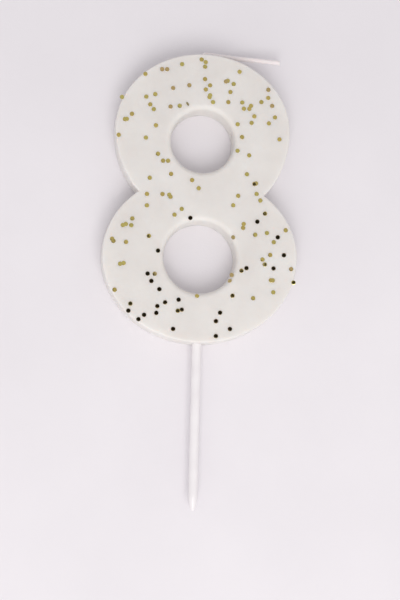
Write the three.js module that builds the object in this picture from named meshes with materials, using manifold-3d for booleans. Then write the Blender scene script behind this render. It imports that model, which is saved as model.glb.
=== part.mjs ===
// Number birthday candle, the figure 8, lying flat on its back.
// Millimetres. +X is to the reader's right, +Y towards the numeral's top, +Z out of its face.
// The origin is under the middle of the whole candle, on the plane of the flat back.

import * as THREE from 'three';
import { mergeVertices } from 'three/addons/utils/BufferGeometryUtils.js';
import Module from 'manifold-3d';

const wasm = await Module();
wasm.setup();

// ---- driving dimensions of the wax numeral ----
// Heights along Y are counted from the point halfway between the two bowls' widest lines.

const waxThickness = 11;
const mouldDraft = 0.2; // how far each outer wall leans out between the face and the back
const faceEdgeRadius = 0.6; // rounding between the face and the outer wall
const holeEdgeRadius = 1.9; // softer rounding between the face and a hole's wall

const upperBowl = { centreY: 24.7, halfWidth: 34.0, heightAbove: 30.0, heightBelow: 35.7 };
const lowerBowl = { centreY: -24.7, halfWidth: 37.7, heightAbove: 32.1, heightBelow: 33.3 };
const upperHole = { centreY: 20.4, faceRadius: 14.35, backRadius: 12.15 };
const lowerHole = { centreY: -25.0, faceRadius: 16.0, backRadius: 13.8 };

// ---- driving dimensions of the stick and the wick ----

const fitGap = 0.3; // between a piece and the wax or the piece next to it

const stickRadius = 1.8;
const stickAxisZ = 5.5;
const stickInWax = 14.5;
const stickExposed = 64;
const stickTipLength = 5;
const stickTipRadius = 0.9;

const wickRadius = 0.9;
const wickAxisZ = 5.0;
const wickInWax = 17;
const wickExposed = 30.3; // from the bend to the cut end
const wickRise = 1.3; // height of the bend above the wax
const wickDroop = THREE.MathUtils.degToRad(4.1); // how far the bent wick dips below level

// ---- levels that follow from them ----

const waxTopAtFace = upperBowl.centreY + upperBowl.heightAbove;
const waxBottomAtFace = lowerBowl.centreY - lowerBowl.heightBelow;
const draftAt = (z) => mouldDraft * (1 - z / waxThickness);
const waxTop = waxTopAtFace + draftAt(wickAxisZ);
const waxBottom = waxBottomAtFace - draftAt(stickAxisZ);
const bendY = waxTop + wickRise;
const stickEndY = waxBottom - stickExposed;
const candleMiddleY = (bendY + wickRadius + stickEndY) / 2;

// ---- materials ----

const wax = new THREE.MeshStandardMaterial({ color: 0xf0eee9, roughness: 0.4, metalness: 0 });
const whitePlastic = new THREE.MeshStandardMaterial({ color: 0xf4eff0, roughness: 0.22, metalness: 0 });
const waxedCotton = new THREE.MeshStandardMaterial({ color: 0xeae0de, roughness: 0.7, metalness: 0 });

// ---- booleans ----

// Merge a geometry's shared corners, so that it becomes one closed solid.
function solidFrom(geometry) {
  geometry.deleteAttribute('normal');
  geometry.deleteAttribute('uv');
  const merged = mergeVertices(geometry, 1e-4);
  return new wasm.Manifold(new wasm.Mesh({
    numProp: 3,
    vertProperties: new Float32Array(merged.attributes.position.array),
    triVerts: new Uint32Array(merged.index.array),
  }));
}

function geometryFrom(solid) {
  const mesh = solid.getMesh();
  const geometry = new THREE.BufferGeometry();
  geometry.setAttribute('position', new THREE.BufferAttribute(mesh.vertProperties, 3));
  geometry.setIndex(new THREE.BufferAttribute(mesh.triVerts, 1));
  geometry.computeVertexNormals();
  return geometry;
}

// ---- shapes ----

// A closed solid through horizontal rings, lowest first. ringAt(level, turn) gives a ring's point.
function stackedRings(levels, sides, ringAt) {
  const positions = [];
  const index = [];
  for (const level of levels) {
    for (let side = 0; side < sides; side += 1) {
      const point = ringAt(level, (side / sides) * 2 * Math.PI);
      positions.push(point.x, point.y, level.z);
    }
  }
  const corner = (ring, side) => ring * sides + (side % sides);
  for (let ring = 0; ring + 1 < levels.length; ring += 1) {
    for (let side = 0; side < sides; side += 1) {
      index.push(corner(ring, side), corner(ring, side + 1), corner(ring + 1, side + 1));
      index.push(corner(ring, side), corner(ring + 1, side + 1), corner(ring + 1, side));
    }
  }
  const lastRing = levels.length - 1;
  for (let side = 1; side + 1 < sides; side += 1) {
    index.push(corner(0, 0), corner(0, side + 1), corner(0, side));
    index.push(corner(lastRing, 0), corner(lastRing, side), corner(lastRing, side + 1));
  }
  const geometry = new THREE.BufferGeometry();
  geometry.setAttribute('position', new THREE.Float32BufferAttribute(positions, 3));
  geometry.setIndex(index);
  return geometry;
}

// Levels of a wall with a rounded upper edge: how far the wall stands outside its size at the face.
function wallLevels(lean, edgeRadius, edgeSteps) {
  const levels = [{ z: 0, out: lean }];
  for (let step = 0; step <= edgeSteps; step += 1) {
    const turn = (step / edgeSteps) * (Math.PI / 2);
    const z = waxThickness - edgeRadius * (1 - Math.sin(turn));
    levels.push({ z, out: edgeRadius * (Math.cos(turn) - 1) });
  }
  return levels;
}

// One bowl of the 8: half an ellipse above its widest line and half another one below it.
function bowlSolid(bowl) {
  const ringAt = (level, turn) => {
    const height = Math.sin(turn) >= 0 ? bowl.heightAbove : bowl.heightBelow;
    return {
      x: (bowl.halfWidth + level.out) * Math.cos(turn),
      y: bowl.centreY + (height + level.out) * Math.sin(turn),
    };
  };
  return solidFrom(stackedRings(wallLevels(mouldDraft, faceEdgeRadius, 3), 72, ringAt));
}

// The cutter for a round hole that narrows towards the back and flares at the face.
function holeCutter(hole) {
  const overshoot = 1;
  const lean = (hole.faceRadius - holeEdgeRadius - hole.backRadius) / (waxThickness - holeEdgeRadius);
  const edgeSteps = 4;
  const levels = [{ z: -overshoot, radius: hole.backRadius - lean * overshoot }];
  for (let step = 0; step <= edgeSteps; step += 1) {
    const turn = (step / edgeSteps) * (Math.PI / 2);
    const z = waxThickness - holeEdgeRadius * (1 - Math.sin(turn));
    levels.push({ z, radius: hole.faceRadius - holeEdgeRadius * Math.cos(turn) });
  }
  levels.push({ z: waxThickness + overshoot, radius: hole.faceRadius });
  const ringAt = (level, turn) => ({
    x: level.radius * Math.cos(turn),
    y: hole.centreY + level.radius * Math.sin(turn),
  });
  return solidFrom(stackedRings(levels, 60, ringAt));
}

// The cutter for a blind bore along Y, between two heights.
function boreCutter(radius, fromY, toY, axisZ) {
  const bore = new THREE.CylinderGeometry(radius, radius, toY - fromY, 24);
  bore.translate(0, (fromY + toY) / 2, axisZ);
  return solidFrom(bore);
}

// ---- the pieces ----

// The cast wax: two overlapping bowls with a hole each, bored from below for the stick and from
// above for the wick.
function makeWaxNumeral() {
  const stickBore = boreCutter(
    stickRadius + fitGap, waxBottomAtFace - 2 * mouldDraft, waxBottom + stickInWax + fitGap, stickAxisZ);
  const wickBore = boreCutter(
    wickRadius + fitGap, waxTop - wickInWax - fitGap, waxTopAtFace + 2 * mouldDraft, wickAxisZ);
  const numeral = bowlSolid(upperBowl)
    .add(bowlSolid(lowerBowl))
    .subtract(holeCutter(upperHole))
    .subtract(holeCutter(lowerHole))
    .subtract(stickBore)
    .subtract(wickBore);
  const mesh = new THREE.Mesh(geometryFrom(numeral), wax);
  mesh.name = 'wax_numeral';
  return mesh;
}

// The round plastic stick: flat at the end inside the wax, drawn in to a blunt tip at the other.
function makeStick() {
  const length = stickInWax + stickExposed;
  const profile = [
    new THREE.Vector2(0, 0),
    new THREE.Vector2(stickTipRadius * 0.7, 0.2),
    new THREE.Vector2(stickTipRadius, 0.7),
    new THREE.Vector2(stickRadius, stickTipLength),
    new THREE.Vector2(stickRadius, length - 0.3),
    new THREE.Vector2(stickRadius - 0.3, length),
    new THREE.Vector2(0, length),
  ];
  const mesh = new THREE.Mesh(new THREE.LatheGeometry(profile, 28), whitePlastic);
  mesh.name = 'stick';
  mesh.position.set(0, stickEndY, stickAxisZ);
  return mesh;
}

// The length of wick held by the wax. Its domed top is centred on the bend, so that the free
// length turns around it.
function makeWickRoot() {
  const straight = wickInWax + wickRise;
  const profile = [new THREE.Vector2(0, 0), new THREE.Vector2(wickRadius, 0)];
  const domeSteps = 4;
  for (let step = 0; step <= domeSteps; step += 1) {
    const turn = (step / domeSteps) * (Math.PI / 2);
    const radius = step === domeSteps ? 0 : wickRadius * Math.cos(turn);
    profile.push(new THREE.Vector2(radius, straight + wickRadius * Math.sin(turn)));
  }
  const mesh = new THREE.Mesh(new THREE.LatheGeometry(profile, 16), waxedCotton);
  mesh.name = 'wick_root';
  mesh.position.set(0, waxTop - wickInWax, wickAxisZ);
  return mesh;
}

// The free length of wick, folded over to the right and dipping a little.
function makeWickTip() {
  const start = wickRadius + fitGap;
  const length = wickExposed - start;
  const geometry = new THREE.CylinderGeometry(wickRadius, wickRadius, length, 16);
  geometry.rotateZ(-Math.PI / 2);
  geometry.translate(start + length / 2, 0, 0);
  const mesh = new THREE.Mesh(geometry, waxedCotton);
  mesh.name = 'wick_tip';
  const bend = new THREE.Group();
  bend.position.set(0, bendY, wickAxisZ);
  bend.rotation.z = -wickDroop;
  bend.add(mesh);
  return bend;
}

const candle = new THREE.Group();
candle.add(makeWaxNumeral(), makeStick(), makeWickRoot(), makeWickTip());
candle.position.y = -candleMiddleY;

export default candle;
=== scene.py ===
import math
import random

import bmesh
import bpy
from mathutils import Matrix, Vector, noise
from mathutils.bvhtree import BVHTree


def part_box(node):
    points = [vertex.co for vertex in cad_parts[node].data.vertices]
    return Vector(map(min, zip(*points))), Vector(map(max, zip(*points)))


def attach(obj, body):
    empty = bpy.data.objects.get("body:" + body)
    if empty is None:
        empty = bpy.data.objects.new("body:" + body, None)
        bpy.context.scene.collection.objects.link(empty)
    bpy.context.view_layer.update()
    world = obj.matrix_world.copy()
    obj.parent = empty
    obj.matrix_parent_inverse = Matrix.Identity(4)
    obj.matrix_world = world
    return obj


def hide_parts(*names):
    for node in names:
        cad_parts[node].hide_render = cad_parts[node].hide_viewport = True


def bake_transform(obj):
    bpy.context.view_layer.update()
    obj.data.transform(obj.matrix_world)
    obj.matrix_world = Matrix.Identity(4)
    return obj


# The looks of a number birthday candle, the figure 8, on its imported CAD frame.
# Shapes are worked out in millimetres. X is to the reader's right, Y towards the numeral's top and
# Z out of its face, with Y counted from halfway between the two bowls' widest lines.
# to_row() turns such a place into the row frame.

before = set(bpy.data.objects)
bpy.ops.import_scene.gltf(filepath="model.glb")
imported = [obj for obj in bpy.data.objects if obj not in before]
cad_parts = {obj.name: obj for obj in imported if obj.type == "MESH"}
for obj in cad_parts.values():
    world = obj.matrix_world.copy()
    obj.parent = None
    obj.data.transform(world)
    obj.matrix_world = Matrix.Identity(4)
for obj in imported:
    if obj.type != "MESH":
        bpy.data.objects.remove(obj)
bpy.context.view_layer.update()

MM = 0.001

# ---- the wax numeral: the CAD part's sizes, then what only this model has ----

THICKNESS = 11.0
DRAFT = 0.2
FACE_EDGE = 0.6
HOLE_EDGE = 1.9
BACK_EDGE = 0.35
UPPER = {"centre_y": 24.7, "half_width": 34.0, "above": 30.0, "below": 35.7}
LOWER = {"centre_y": -24.7, "half_width": 37.7, "above": 32.1, "below": 33.3}
UPPER_HOLE = {"centre_y": 20.4, "face_radius": 14.35, "back_radius": 12.15}
LOWER_HOLE = {"centre_y": -25.0, "face_radius": 16.0, "back_radius": 13.8}

POUR_HOLLOW = 0.5  # how far the poured back has sunk between its rims
HOLLOW_RUN = 7.0  # how far from a rim the hollow reaches that depth
SLOW_RIPPLE = 0.09  # the slow unevenness of the cast surface
FINE_RIPPLE = 0.022
NICK = Vector((11.5, 24.5, 3.5))  # a small nick in the upper hole's wall
NICK_DEPTH = 1.3
NICK_REACH = Vector((0.45, 0.675, 1.35))  # how far the nick spreads along each axis

# ---- the stick and the wick: the CAD part's sizes, then what only this model has ----

STICK_RADIUS = 1.8
STICK_Z = 5.5
STICK_IN_WAX = 14.5
WICK_RADIUS = 0.9
WICK_Z = 5.0
WICK_IN_WAX = 17.0
WICK_RISE = 1.3
WICK_FREE = 30.3  # from the bend to the cut end
WICK_DROOP = math.radians(4.1)

STICK_SHOULDER = 5.6  # from the tip to where the radius is full
STICK_TIP = [  # (distance from the tip, radius) before the shoulder
    (0, 0.05), (0.1, 0.45), (0.35, 0.72), (0.8, 0.92), (2.6, 1.38), (4.6, 1.74),
]
STICK_CHAMFER = 0.3  # at the end in the wax
PARTING_LINE = 0.045  # how far the mould's parting line stands out
WICK_BEND_RADIUS = 1.1
BRAID_PITCH = 2.3  # one full turn of a strand along the wick
WANDER = 0.08  # how far the free length strays to either side of its line
FRAY = 0.09  # how much thicker the wick is at its cut end
FRAY_FROM = 41.0  # along the wick from its held end
FRAY_LENGTH = 7.0

# ---- levels that follow ----

BOTTOM_AT_BACK = LOWER["centre_y"] - LOWER["below"] - DRAFT
MIDDLE_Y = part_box("wax_numeral")[0].y / MM - BOTTOM_AT_BACK
WAX_TOP = UPPER["centre_y"] + UPPER["above"] + DRAFT * (1 - WICK_Z / THICKNESS)
WAX_BOTTOM = LOWER["centre_y"] - LOWER["below"] - DRAFT * (1 - STICK_Z / THICKNESS)
BEND_Y = WAX_TOP + WICK_RISE
STICK_END_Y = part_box("stick")[0].y / MM - MIDDLE_Y


def to_row(x, y, z):
    """A place on the candle in millimetres, as a point of the row frame."""
    return Vector((x, y + MIDDLE_Y, z)) * MM


# ---- node helpers ----

def new_material(name):
    """A material with its node tree and its Principled shader."""
    material = bpy.data.materials.new(name)
    material.use_nodes = True
    tree = material.node_tree
    return material, tree, tree.nodes["Principled BSDF"]


def noise_node(tree, coordinates, scale, detail=2.0, roughness=0.5):
    """Cloudy noise from 0 to 1, with so many clouds to the unit of the coordinates."""
    node = tree.nodes.new("ShaderNodeTexNoise")
    node.inputs["Scale"].default_value = scale
    node.inputs["Detail"].default_value = detail
    node.inputs["Roughness"].default_value = roughness
    tree.links.new(coordinates, node.inputs["Vector"])
    return node.outputs["Fac"]


def ramp_node(tree, value, stops):
    """Colours along a value: stops are (place, colour) pairs."""
    node = tree.nodes.new("ShaderNodeValToRGB")
    elements = node.color_ramp.elements
    while len(elements) < len(stops):
        elements.new(0.5)
    for element, (place, colour) in zip(elements, stops):
        element.position = place
        element.color = (*colour, 1.0)
    tree.links.new(value, node.inputs["Fac"])
    return node.outputs["Color"]


def bump_node(tree, height, distance, normal=None):
    """A bump that is as deep as the distance, in metres, on top of another normal if there is one."""
    node = tree.nodes.new("ShaderNodeBump")
    node.inputs["Distance"].default_value = distance
    tree.links.new(height, node.inputs["Height"])
    if normal is not None:
        tree.links.new(normal, node.inputs["Normal"])
    return node.outputs["Normal"]


def spread_node(tree, value, low, high):
    """A value from 0 to 1, stretched to run from low to high."""
    node = tree.nodes.new("ShaderNodeMapRange")
    node.inputs["To Min"].default_value = low
    node.inputs["To Max"].default_value = high
    tree.links.new(value, node.inputs["Value"])
    return node.outputs["Result"]


# ---- materials ----

def wax_material():
    """Opaque white candle wax: a soft sheen, faint clouding, a fine cast skin and a few pits."""
    material, tree, shader = new_material("cast_wax")
    place = tree.nodes.new("ShaderNodeTexCoord").outputs["Object"]
    clouding = noise_node(tree, place, 70, detail=3.0)
    colour = ramp_node(tree, clouding, [(0.3, (0.74, 0.712, 0.682)), (0.7, (0.79, 0.770, 0.742))])
    tree.links.new(colour, shader.inputs["Base Color"])
    patches = noise_node(tree, place, 240, detail=2.0)
    tree.links.new(spread_node(tree, patches, 0.42, 0.6), shader.inputs["Roughness"])
    skin = bump_node(tree, noise_node(tree, place, 900, detail=4.0, roughness=0.6), 0.00004)
    swell = bump_node(tree, noise_node(tree, place, 160), 0.00025, normal=skin)
    pits = tree.nodes.new("ShaderNodeTexVoronoi")
    pits.inputs["Scale"].default_value = 330
    tree.links.new(place, pits.inputs["Vector"])
    pit_depth = ramp_node(tree, pits.outputs["Distance"], [(0.04, (0, 0, 0)), (0.09, (1, 1, 1))])
    tree.links.new(bump_node(tree, pit_depth, 0.00003, normal=swell), shader.inputs["Normal"])
    shader.inputs["Subsurface Weight"].default_value = 0.5
    shader.inputs["Subsurface Radius"].default_value = (0.0034, 0.0030, 0.0027)
    shader.inputs["Subsurface Scale"].default_value = 1.0
    shader.inputs["Specular IOR Level"].default_value = 0.3
    return material


def foil_material():
    """Gold metallised film, mirror-like and finely creased; a tone for each dot, on dark ones a
    painted reflection.
    """
    material, tree, shader = new_material("gold_foil")
    place = tree.nodes.new("ShaderNodeTexCoord").outputs["Object"]
    # each dot's own tone; on the dark dots this is a painted dark reflection
    tone_and_painted_reflection = tree.nodes.new("ShaderNodeAttribute")
    tone_and_painted_reflection.attribute_name = "tone_and_painted_reflection"
    tree.links.new(tone_and_painted_reflection.outputs["Color"], shader.inputs["Base Color"])
    creases = noise_node(tree, place, 2600, detail=3.0)
    tree.links.new(bump_node(tree, creases, 0.000008), shader.inputs["Normal"])
    scuffs = noise_node(tree, place, 5000, detail=2.0)
    tree.links.new(spread_node(tree, scuffs, 0.06, 0.18), shader.inputs["Roughness"])
    shader.inputs["Metallic"].default_value = 1.0
    return material


def stick_material():
    """Glossy white moulded polystyrene, with slow ripples from the mould."""
    material, tree, shader = new_material("moulded_white_plastic")
    place = tree.nodes.new("ShaderNodeTexCoord").outputs["Object"]
    clouding = noise_node(tree, place, 120)
    colour = ramp_node(tree, clouding, [(0.3, (0.83, 0.80, 0.815)), (0.7, (0.88, 0.855, 0.865))])
    tree.links.new(colour, shader.inputs["Base Color"])
    grain = bump_node(tree, noise_node(tree, place, 2200, detail=3.0), 0.000002)
    ripples = bump_node(tree, noise_node(tree, place, 160), 0.00004, normal=grain)
    tree.links.new(ripples, shader.inputs["Normal"])
    shader.inputs["Roughness"].default_value = 0.28
    return material


def wick_material():
    """Braided cotton soaked in wax: pinkish white, with fibres under a thin coat."""
    material, tree, shader = new_material("waxed_cotton_braid")
    along = tree.nodes.new("ShaderNodeUVMap")
    along.uv_map = "braid"
    stretch = tree.nodes.new("ShaderNodeMapping")
    stretch.inputs["Scale"].default_value = (9.0, 1.0, 1.0)
    tree.links.new(along.outputs["UV"], stretch.inputs["Vector"])
    fibres = noise_node(tree, stretch.outputs["Vector"], 3.0, detail=4.0, roughness=0.65)
    colour = ramp_node(tree, fibres, [(0.3, (0.86, 0.79, 0.79)), (0.7, (0.91, 0.86, 0.86))])
    tree.links.new(colour, shader.inputs["Base Color"])
    tree.links.new(bump_node(tree, fibres, 0.00003), shader.inputs["Normal"])
    tree.links.new(spread_node(tree, fibres, 0.45, 0.7), shader.inputs["Roughness"])
    shader.inputs["Subsurface Weight"].default_value = 0.15
    shader.inputs["Subsurface Radius"].default_value = (0.0008, 0.0006, 0.0005)
    shader.inputs["Subsurface Scale"].default_value = 1.0
    return material


def card_material():
    """Pale matt card, with a faint fibre grain."""
    material, tree, shader = new_material("pale_card")
    place = tree.nodes.new("ShaderNodeTexCoord").outputs["Object"]
    clouding = noise_node(tree, place, 18, detail=3.0)
    colour = ramp_node(tree, clouding, [(0.3, (0.80, 0.775, 0.805)), (0.7, (0.83, 0.805, 0.835))])
    tree.links.new(colour, shader.inputs["Base Color"])
    fibre = noise_node(tree, place, 1400, detail=4.0)
    tree.links.new(bump_node(tree, fibre, 0.00004), shader.inputs["Normal"])
    shader.inputs["Roughness"].default_value = 0.75
    return material


# ---- mesh helpers ----

def skin_rings(mesh, rings, closed=True):
    """Faces between successive rings of points. Rings have equally many points."""
    rows = [[mesh.verts.new(point) for point in ring] for ring in rings]
    count = len(rows[0])
    for row, above in zip(rows, rows[1:]):
        for i in range(count if closed else count - 1):
            j = (i + 1) % count
            mesh.faces.new((row[i], row[j], above[j], above[i]))
    return rows


def finished_object(name, mesh, material):
    """An object from a bmesh in millimetres, in the row frame, shaded smooth."""
    for vertex in mesh.verts:
        vertex.co = to_row(*vertex.co)
    for face in mesh.faces:
        face.smooth = True
    data = bpy.data.meshes.new(name)
    mesh.to_mesh(data)
    mesh.free()
    data.materials.append(material)
    thing = bpy.data.objects.new(name, data)
    bpy.context.scene.collection.objects.link(thing)
    return thing


def between(a, b, share):
    """The point a share of the way from one point to another."""
    return tuple(p + (q - p) * share for p, q in zip(a, b))


def smooth_step(value):
    """0 up to 0 and 1 from 1 on, with a soft rise between."""
    value = min(1.0, max(0.0, value))
    return value * value * (3 - 2 * value)


# ---- the outline of the 8 ----

def half_width_at(bowl, y, out):
    """Half of a bowl's width at a height, for an outline that stands out from the face's one."""
    rise = y - bowl["centre_y"]
    height = (bowl["above"] if rise >= 0 else bowl["below"]) + out
    return (bowl["half_width"] + out) * math.sqrt(max(0.0, 1 - (rise / height) ** 2))


def waist_y(out):
    """The height at which the two bowls' outlines cross."""
    low, high = LOWER["centre_y"], UPPER["centre_y"]
    for _ in range(40):
        middle = (low + high) / 2
        if half_width_at(UPPER, middle, out) > half_width_at(LOWER, middle, out):
            high = middle
        else:
            low = middle
    return (low + high) / 2


def bowl_arc(bowl, out, steps):
    """One bowl's part of the outline, counter-clockwise from waist to waist."""
    rise = waist_y(out) - bowl["centre_y"]
    height = (bowl["above"] if rise > 0 else bowl["below"]) + out
    turn = math.asin(rise / height)
    first, last = (math.pi - turn, 2 * math.pi + turn) if rise > 0 else (turn, math.pi - turn)
    points = []
    for i in range(steps + 1):
        turn = first + (last - first) * i / steps
        height = (bowl["above"] if math.sin(turn) >= 0 else bowl["below"]) + out
        x = (bowl["half_width"] + out) * math.cos(turn)
        points.append((x, bowl["centre_y"] + height * math.sin(turn)))
    return points


def bowl_loop(bowl, out, arc_steps, waist_steps):
    """A closed loop round one bowl: its arc, then straight across the waist."""
    arc = bowl_arc(bowl, out, arc_steps)
    across = [between(arc[-1], arc[0], i / waist_steps) for i in range(1, waist_steps)]
    return arc + across


def poured_hollow(x, y):
    """How far the back's skin has sunk at a place: nothing at the rims, most between them."""
    depth = -THICKNESS
    for bowl in (UPPER, LOWER):
        reach_y = bowl["above"] if y > bowl["centre_y"] else bowl["below"]
        share = math.hypot(x / bowl["half_width"], (y - bowl["centre_y"]) / reach_y)
        depth = max(depth, (1 - share) * bowl["half_width"])
    for hole in (UPPER_HOLE, LOWER_HOLE):
        depth = min(depth, math.hypot(x, y - hole["centre_y"]) - hole["back_radius"] - BACK_EDGE)
    return POUR_HOLLOW * smooth_step(depth / HOLLOW_RUN)


# ---- pieces ----

ARC_STEPS = 230
WAIST_STEPS = 64
EDGE_STEPS = 6
BACK_EDGE_STEPS = 3
WALL_ROWS = 12
BORE_ROWS = 24
FACE_ROWS = 28
BACK_ROWS = 16


def quarter(steps):
    """Turns from 0 to a quarter circle."""
    return [i / steps * math.pi / 2 for i in range(steps + 1)]


def outer_levels():
    """The outer wall from the face's edge to the back: (height, how far it stands out)."""
    levels = []
    for turn in reversed(quarter(EDGE_STEPS)):
        z = THICKNESS - FACE_EDGE * (1 - math.sin(turn))
        levels.append((z, FACE_EDGE * (math.cos(turn) - 1)))
    wall_top, wall_foot = THICKNESS - FACE_EDGE, BACK_EDGE
    for i in range(1, WALL_ROWS + 1):
        share = i / WALL_ROWS
        levels.append((wall_top + (wall_foot - wall_top) * share, DRAFT * share))
    for turn in quarter(BACK_EDGE_STEPS)[1:]:
        levels.append((BACK_EDGE * (1 - math.sin(turn)), DRAFT - BACK_EDGE * (1 - math.cos(turn))))
    return levels


def hole_levels(hole):
    """A hole's wall from the face to the back: (height, radius)."""
    levels = []
    for turn in reversed(quarter(EDGE_STEPS)):
        z = THICKNESS - HOLE_EDGE * (1 - math.sin(turn))
        levels.append((z, hole["face_radius"] - HOLE_EDGE * math.cos(turn)))
    top_z, top_radius = levels[-1]
    for i in range(1, BORE_ROWS + 1):
        share = i / BORE_ROWS
        z = top_z + (BACK_EDGE - top_z) * share
        levels.append((z, top_radius + (hole["back_radius"] - top_radius) * share))
    for turn in quarter(BACK_EDGE_STEPS)[1:]:
        z = BACK_EDGE * (1 - math.sin(turn))
        levels.append((z, hole["back_radius"] + BACK_EDGE * (1 - math.cos(turn))))
    return levels


def add_bowl(mesh, bowl, hole):
    """One bowl's share of the numeral's skin: face, outer wall, back and hole wall."""
    walls = outer_levels()
    bore = hole_levels(hole)
    face_loop = bowl_loop(bowl, walls[0][1], ARC_STEPS, WAIST_STEPS)
    back_loop = bowl_loop(bowl, walls[-1][1], ARC_STEPS, WAIST_STEPS)
    turns = [math.atan2(y - hole["centre_y"], x) for x, y in face_loop]

    def rim(radius):
        return [(radius * math.cos(t), hole["centre_y"] + radius * math.sin(t)) for t in turns]

    def sheet(inner, outer, rows, height_at):
        rings = []
        for row in range(rows + 1):
            flat = [between(p, q, row / rows) for p, q in zip(inner, outer)]
            rings.append([(x, y, height_at(x, y)) for x, y in flat])
        return rings

    skin_rings(mesh, sheet(rim(bore[0][1]), face_loop, FACE_ROWS, lambda x, y: THICKNESS))
    skin_rings(mesh, sheet(rim(bore[-1][1]), back_loop, BACK_ROWS, poured_hollow))
    skin_rings(mesh, [[(x, y, z) for x, y in rim(radius)] for z, radius in bore])
    arcs = [[(x, y, z) for x, y in bowl_arc(bowl, out, ARC_STEPS)] for z, out in walls]
    skin_rings(mesh, arcs, closed=False)


def ripple(place):
    """The slow unevenness of a cast wax surface, in millimetres."""
    slow = noise.noise(place / 13)
    fine = noise.noise(place / 3.2 + Vector((7, 3, 1)))
    return SLOW_RIPPLE * slow + FINE_RIPPLE * fine


def make_wax():
    """The cast 8 as one closed skin, a little uneven all over and nicked once."""
    mesh = bmesh.new()
    add_bowl(mesh, UPPER, UPPER_HOLE)
    add_bowl(mesh, LOWER, LOWER_HOLE)
    bmesh.ops.remove_doubles(mesh, verts=mesh.verts, dist=0.002)
    bmesh.ops.recalc_face_normals(mesh, faces=mesh.faces)
    mesh.normal_update()
    for vertex in mesh.verts:
        away = vertex.co - NICK
        spread = math.hypot(away.x / NICK_REACH.x, away.y / NICK_REACH.y, away.z / NICK_REACH.z)
        dent = NICK_DEPTH * math.exp(-spread ** 2)
        vertex.co += vertex.normal * (ripple(vertex.co) - dent)
    return finished_object("wax_numeral_cast", mesh, wax_material())


def stick_profile():
    """The stick from its tip to its end in the wax: (height, radius)."""
    shoulder, end = STICK_END_Y + STICK_SHOULDER, WAX_BOTTOM + STICK_IN_WAX
    last = end - STICK_CHAMFER
    steps = 60
    profile = [(STICK_END_Y + distance, radius) for distance, radius in STICK_TIP]
    for i in range(steps + 1):
        profile.append((shoulder + (last - shoulder) * i / steps, STICK_RADIUS))
    return profile + [(end, STICK_RADIUS - STICK_CHAMFER), (end, 0.05)]


def make_stick():
    """The moulded rod, with a fine parting line along both sides and a blunt tip."""
    sides = 64
    mesh = bmesh.new()
    rings = []
    for y, radius in stick_profile():
        ring = []
        for i in range(sides):
            turn = i / sides * 2 * math.pi
            across, up = math.cos(turn), math.sin(turn)
            seam = PARTING_LINE * abs(across) ** 220 * min(1, radius)
            r = radius + seam + 0.02 * noise.noise(Vector((y / 9, across, up)))
            ring.append((r * across, y, STICK_Z + r * up))
        rings.append(ring)
    rows = skin_rings(mesh, rings)
    mesh.faces.new(rows[0])
    mesh.faces.new(rows[-1])
    bmesh.ops.recalc_face_normals(mesh, faces=mesh.faces)
    return finished_object("stick_moulded", mesh, stick_material())


def wick_line():
    """The wick's centreline as (point, direction) pairs, from inside the wax to the cut end."""
    turn_through = math.pi / 2 + WICK_DROOP
    tangent = WICK_BEND_RADIUS * math.tan(turn_through / 2)
    straight_top = BEND_Y - tangent
    root_y = WAX_TOP - WICK_IN_WAX
    line = []
    root_steps = 60
    for i in range(root_steps):
        line.append((Vector((0, root_y + (straight_top - root_y) * i / root_steps)), math.pi / 2))
    bend_steps = 18
    centre = Vector((WICK_BEND_RADIUS, straight_top))
    for i in range(bend_steps):
        turned = turn_through * i / bend_steps
        around = Vector((-math.cos(turned), math.sin(turned)))
        line.append((centre + WICK_BEND_RADIUS * around, math.pi / 2 - turned))
    free_steps = 170
    heading = Vector((math.cos(WICK_DROOP), -math.sin(WICK_DROOP)))
    across = Vector((-heading.y, heading.x))
    for i in range(free_steps + 1):
        along = tangent + (WICK_FREE - tangent) * i / free_steps
        wander = WANDER * math.sin(along / 5.5 + 2.6) * smooth_step((along - tangent) / 6)
        line.append((Vector((0, BEND_Y)) + heading * along + across * wander, -WICK_DROOP))
    return line


def make_wick():
    """One braided cotton wick, from inside the wax through the bend to its square-cut end."""
    line = wick_line()
    sides = 30
    mesh = bmesh.new()
    rings = []
    travelled = 0.0
    distances = []
    previous = line[0][0]
    for point, heading in line:
        travelled += (point - previous).length
        previous = point
        distances.append(travelled)
        normal = Vector((-math.sin(heading), math.cos(heading)))
        flare = FRAY * smooth_step((travelled - FRAY_FROM) / FRAY_LENGTH)
        ring = []
        for i in range(sides):
            turn = i / sides * 2 * math.pi
            leg = travelled * 2 * math.pi / BRAID_PITCH
            strands = max(math.sin(2 * turn + leg), math.sin(2 * turn - leg + 1.2))
            radius = WICK_RADIUS - 0.04 + 0.06 * strands + flare
            offset = normal * (radius * math.cos(turn))
            ring.append((point.x + offset.x, point.y + offset.y, WICK_Z + radius * math.sin(turn)))
        rings.append(ring)
    rows = skin_rings(mesh, rings)
    mesh.faces.new(rows[0])
    mesh.faces.new(rows[-1])
    braid = mesh.loops.layers.uv.new("braid")
    place = {}
    for row, distance in zip(rows, distances):
        for i, vertex in enumerate(row):
            place[vertex] = (distance, i / sides * 2 * math.pi * WICK_RADIUS)
    for face in mesh.faces:
        for loop in face.loops:
            loop[braid].uv = place[loop.vert]
    bmesh.ops.recalc_face_normals(mesh, faces=mesh.faces)
    return finished_object("wick_braid", mesh, wick_material())


# ---- the foil dots ----
# Places on the face in millimetres, before dot_place() sets them right. Gold and tan dots lie
# nearly flat. Dark ones lean a few degrees to the left and towards the stick, so that they mirror
# the dark patch overhead. They are also given a dark colour, which is a painted dark reflection on
# gold film. Half-dark ones lean just enough to catch the patch's edge. The edge dots stick out past
# the wax, and the standing dot is up on its rim.

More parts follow.
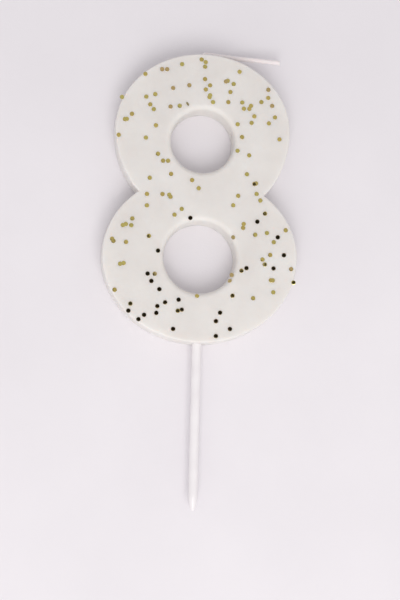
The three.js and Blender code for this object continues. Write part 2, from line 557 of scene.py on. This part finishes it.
GOLD_DOTS = [
    (-1.1, 52.0), (0.5, 51.0), (0.3, 49.2), (-8.6, 49.9), (-22.6, 45.6), (13.7, 47.6),
    (0.4, 44.3), (2.4, 41.9), (0.8, 40.2), (9.2, 43.9), (11.5, 42.7), (10.3, 39.5),
    (25.0, 37.6), (-18.6, 37.8), (-22.0, 36.7), (22.4, 35.9), (2.5, 38.0),
    (2.3, 37.2), (3.7, 35.3), (9.6, 35.5), (15.0, 35.5), (-20.4, 33.7), (-19.0, 31.9),
    (-9.1, 33.5), (15.7, 33.1), (18.4, 34.3), (17.8, 33.1), (-27.3, 29.8), (-29.9, 27.7),
    (-29.2, 27.8), (19.8, 30.2), (27.8, 30.0), (18.8, 27.6), (25.5, 27.6), (-18.0, 25.6),
    (13.4, 26.9), (-32.1, 21.5), (-21.7, 20.7), (15.2, 21.9), (29.7, 21.4), (-16.9, 14.5),
    (13.6, 16.5), (18.1, 14.8), (-14.9, 11.9), (-13.0, 11.9), (-11.7, 6.8), (17.4, 7.4),
    (-19.8, 5.1), (-3.6, 4.6), (21.0, 3.9), (-1.0, 1.5), (-20.7, -1.2), (-14.8, -1.1),
    (-12.2, -1.3), (-11.7, -2.1), (14.2, -1.1), (21.3, -0.2), (-20.6, -5.6), (12.4, -4.8),
    (22.8, -2.7), (-7.3, -6.7), (-10.0, -9.0), (-26.0, -10.8), (-29.5, -13.4), (-28.4, -13.0),
    (-26.3, -13.4), (16.6, -12.0), (16.4, -13.5), (32.8, -14.1), (-19.5, -17.4), (21.1, -16.1),
    (25.6, -15.3), (-33.4, -18.8), (-32.9, -19.6), (-28.1, -19.9), (28.3, -18.8),
    (27.0, -23.8), (24.1, -25.6), (-30.1, -28.3), (-28.8, -28.0), (27.5, -33.6), (28.2, -33.6),
    (-31.9, -38.3), (-0.6, -40.1), (28.5, -38.2), (20.8, -40.6),
]
TAN_DOTS = [
    (-16.2, 47.7), (-14.3, 47.7), (8.5, 43.6), (-11.8, 40.4), (-5.6, 41.7), (25.0, 40.8),
    (26.6, 34.5), (-12.6, 33.1), (12.7, -17.2), (-16.9, -31.9), (35.2, -29.1),
    (12.4, -31.8), (11.8, -34.0),
]
HALF_DOTS = [
    (20.4, 3.7), (24.7, -7.8), (25.0, -27.5), (16.1, -30.1), (12.9, -39.8),
    (-25.8, -43.5), (-7.8, -45.9),
]
# Gold dots that look dark: besides their lean, their dark colour is a painted dark reflection
PAINTED_DARK_DOTS = [
    (-3.9, -10.1), (21.8, -11.0), (29.8, -16.9), (-15.9, -23.0), (32.3, -23.8), (18.0, -29.1),
    (28.4, -29.0), (-19.6, -31.9), (-18.1, -34.7), (-15.0, -37.8), (-12.7, -42.8), (-7.6, -41.7),
    (-15.6, -44.3), (-26.5, -46.2), (-6.3, -45.5), (-15.9, -46.9), (-20.5, -47.7), (-22.6, -49.4),
    (8.3, -46.4), (6.8, -49.7), (-9.4, -52.9), (12.2, -52.6), (6.9, -55.4),
]
EDGE_DOTS = [(-31.3, 36.3), (36.2, -34.3)]
STANDING_DOTS = [(-6.1, 34.2)]
DOT_RADIUS = 0.85
DOT_THICKNESS = 0.04
DOT_SIDES = 28


def dot_place(x, y):
    """A listed place set right: the lists come out a little small, leaning and off to one side."""
    return 1.013 * x - 0.2, 1.006 * y + 0.017 * x + 0.2


def add_dot(mesh, tone_and_painted_reflection_layer, centre, normal, colour, chance):
    """One punched disc of film, slightly curled, lying on the wax along its normal."""
    side = normal.cross(Vector((0, 1, 0))).normalized()
    forward = side.cross(normal) * -1
    curl = chance.uniform(-0.05, 0.05)
    curl_turn = chance.uniform(0, math.pi)

    def point(radius, turn, up):
        bent = curl * (radius * math.cos(turn - curl_turn)) ** 2
        out = side * (radius * math.cos(turn)) + forward * (radius * math.sin(turn))
        return centre + out + normal * (up + bent)

    turns = [i / DOT_SIDES * 2 * math.pi for i in range(DOT_SIDES)]
    layers = [(0.3, 1), (0.65, 1), (0.93, 1), (1.0, 0.7), (1.0, 0), (0.6, 0), (0.3, 0)]
    rings = []
    for share, up in layers:
        rings.append([point(DOT_RADIUS * share, turn, DOT_THICKNESS * up) for turn in turns])
    before = len(mesh.faces)
    rows = skin_rings(mesh, rings)
    mesh.faces.new(reversed(rows[0]))
    mesh.faces.new(rows[-1])
    mesh.faces.ensure_lookup_table()
    for face in mesh.faces[before:]:
        for loop in face.loops:
            loop[tone_and_painted_reflection_layer] = (*colour, 1.0)


def resting_place(surface, x, y):
    """Where a dot laid at a place on the face lies: its foot and the wax's normal there.

    A dot whose middle is past the edge stays level with the face, held by its inner side."""
    foot, normal, _, _ = surface.ray_cast(to_row(x, y, THICKNESS + 5), Vector((0, 0, -1)))
    if foot is None or foot.z < (THICKNESS - 1) * MM:
        return Vector((x, y, THICKNESS)), Vector((0, 0, 1))
    return Vector((x, y, foot.z / MM)), normal


def make_dots(wax):
    """All the foil dots as one piece, each laid on the wax where it is."""
    chance = random.Random(8)
    surface = BVHTree.FromObject(wax, bpy.context.evaluated_depsgraph_get())
    mesh = bmesh.new()
    tone_and_painted_reflection_layer = mesh.loops.layers.float_color.new("tone_and_painted_reflection")
    kinds = [  # places, colour, lean in degrees along X and Y, and how much the lean varies
        (GOLD_DOTS, (0.66, 0.55, 0.18), (0, 0), 1.3),
        (TAN_DOTS, (0.62, 0.48, 0.22), (0, 0), 1.6),
        (HALF_DOTS, (0.76, 0.62, 0.25), (-2.9, -3.8), 0.3),
        # the dark colour on the next line is a painted dark reflection on gold film
        (PAINTED_DARK_DOTS, (0.19, 0.15, 0.08), (-4.1, -5.1), 0.3),
        (EDGE_DOTS, (0.70, 0.60, 0.20), (0, 0), 4.0),
        (STANDING_DOTS, (0.34, 0.30, 0.12), (50, 33), 0),
    ]
    for places, colour, lean, spread in kinds:
        for x, y in places:
            foot, rest = resting_place(surface, *dot_place(x, y))
            if places is PAINTED_DARK_DOTS:  # one lies on a hole's rounding, and all must face the patch
                rest = Vector((0, 0, 1))
            lean_x = math.radians(lean[0] + chance.gauss(0, spread))
            lean_y = math.radians(lean[1] + chance.gauss(0, spread))
            normal = (rest + Vector((math.tan(lean_x), math.tan(lean_y), 0))).normalized()
            place = foot + rest * (DOT_RADIUS * math.sin(normal.angle(rest)) + 0.02)
            shade = chance.uniform(0.85, 1.0)
            warmth = chance.uniform(-0.05, 0.05)
            tint = (colour[0] * shade, colour[1] * (shade - warmth), colour[2] * (shade - warmth))
            add_dot(mesh, tone_and_painted_reflection_layer, place, normal, tint, chance)
    bmesh.ops.recalc_face_normals(mesh, faces=mesh.faces)
    return finished_object("foil_dots", mesh, foil_material())


# ---- surroundings ----

FLOOR_REACH = 6  # metres from the middle to each side
FLOOR_DROP = 0.05  # millimetres below the candle's back
ROOM = (0.675, 0.660, 0.672)
DARK_PATCH = Vector((-0.05, -0.07, 1))  # the direction of the dark patch overhead
DARK_PATCH_COLOUR = (0.01, 0.008, 0.006)
DARK_PATCH_RADIUS = (7.5, 9.5)  # degrees, to the inner and the outer side of its soft edge
CAMERA_TURN = math.radians(1.41)
CAMERA_OFFSET = Vector((-0.060, -0.0616, 0.6169))  # metres from the place it looks at
CAMERA_LENS = 95.63


def make_floor():
    """A plain pale floor just under the candle."""
    mesh = bmesh.new()
    bmesh.ops.create_grid(mesh, x_segments=8, y_segments=8, size=FLOOR_REACH)
    data = bpy.data.meshes.new("floor")
    mesh.to_mesh(data)
    mesh.free()
    data.materials.append(card_material())
    floor = bpy.data.objects.new("floor", data)
    floor.location.z = -FLOOR_DROP * MM
    bpy.context.scene.collection.objects.link(floor)


def make_world():
    """An even grey room, with a small dark patch overhead that some of the foil mirrors."""
    world = bpy.data.worlds.new("room")
    bpy.context.scene.world = world
    world.use_nodes = True
    tree = world.node_tree
    direction = tree.nodes.new("ShaderNodeTexCoord").outputs["Generated"]
    facing = tree.nodes.new("ShaderNodeVectorMath")
    facing.operation = "DOT_PRODUCT"
    facing.inputs[1].default_value = DARK_PATCH.normalized()
    tree.links.new(direction, facing.inputs[0])
    inner, outer = [math.cos(math.radians(radius)) for radius in DARK_PATCH_RADIUS]
    patch = tree.nodes.new("ShaderNodeMapRange")
    patch.inputs["From Min"].default_value = outer
    patch.inputs["From Max"].default_value = inner
    tree.links.new(facing.outputs["Value"], patch.inputs["Value"])
    mix = tree.nodes.new("ShaderNodeMix")
    mix.data_type = "RGBA"
    mix.inputs["A"].default_value = (*ROOM, 1)
    mix.inputs["B"].default_value = (*DARK_PATCH_COLOUR, 1)
    tree.links.new(patch.outputs["Result"], mix.inputs["Factor"])
    tree.links.new(mix.outputs["Result"], tree.nodes["Background"].inputs["Color"])
    tree.nodes["Background"].inputs["Strength"].default_value = 1.0


def add_area_light(name, azimuth, elevation, distance, size, power, colour):
    """A square soft light aimed at the candle. Azimuth 0 is on the stick's side.

    Angles are in degrees, and the distance and the size in metres."""
    light = bpy.data.lights.new(name, "AREA")
    light.size = size
    light.energy = power
    light.color = colour
    lamp = bpy.data.objects.new(name, light)
    turn, rise = math.radians(azimuth), math.radians(elevation)
    back = Vector((math.sin(turn) * math.cos(rise), -math.cos(turn) * math.cos(rise), math.sin(rise)))
    lamp.location = back * distance
    lamp.rotation_mode = "QUATERNION"
    lamp.rotation_quaternion = back.to_track_quat("Z", "Y")
    bpy.context.scene.collection.objects.link(lamp)


def make_camera():
    """The photographer's view: nearly overhead, a little below and to the left, slightly turned."""
    turned = Matrix.Rotation(CAMERA_TURN, 3, "Z")
    target = to_row(1.4, -40.56, 0)
    data = bpy.data.cameras.new("camera")
    data.sensor_width = 36
    data.lens = CAMERA_LENS
    camera = bpy.data.objects.new("camera", data)
    camera.location = target + turned @ CAMERA_OFFSET
    back = (camera.location - target).normalized()
    right = (turned @ Vector((0, 1, 0))).cross(back).normalized()
    camera.rotation_mode = "QUATERNION"
    camera.rotation_quaternion = Matrix((right, back.cross(right), back)).transposed().to_quaternion()
    bpy.context.scene.collection.objects.link(camera)
    bpy.context.scene.camera = camera


# ---- the scene ----

wax = make_wax()
dots = make_dots(wax)
stick = make_stick()
wick = make_wick()

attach(wax, "candle")
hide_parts("wax_numeral")

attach(dots, "candle")

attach(stick, "candle")
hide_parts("stick")

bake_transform(wick)
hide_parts("wick_root", "wick_tip")

make_floor()
make_world()
add_area_light(
    "key", azimuth=2, elevation=58, distance=0.9, size=0.55, power=3.4, colour=(1.0, 0.985, 0.96)
)
add_area_light(
    "fill", azimuth=-12, elevation=22, distance=2, size=1.1, power=4.4, colour=(1.0, 0.985, 0.975)
)
make_camera()
bpy.context.scene.view_settings.view_transform = "Standard"
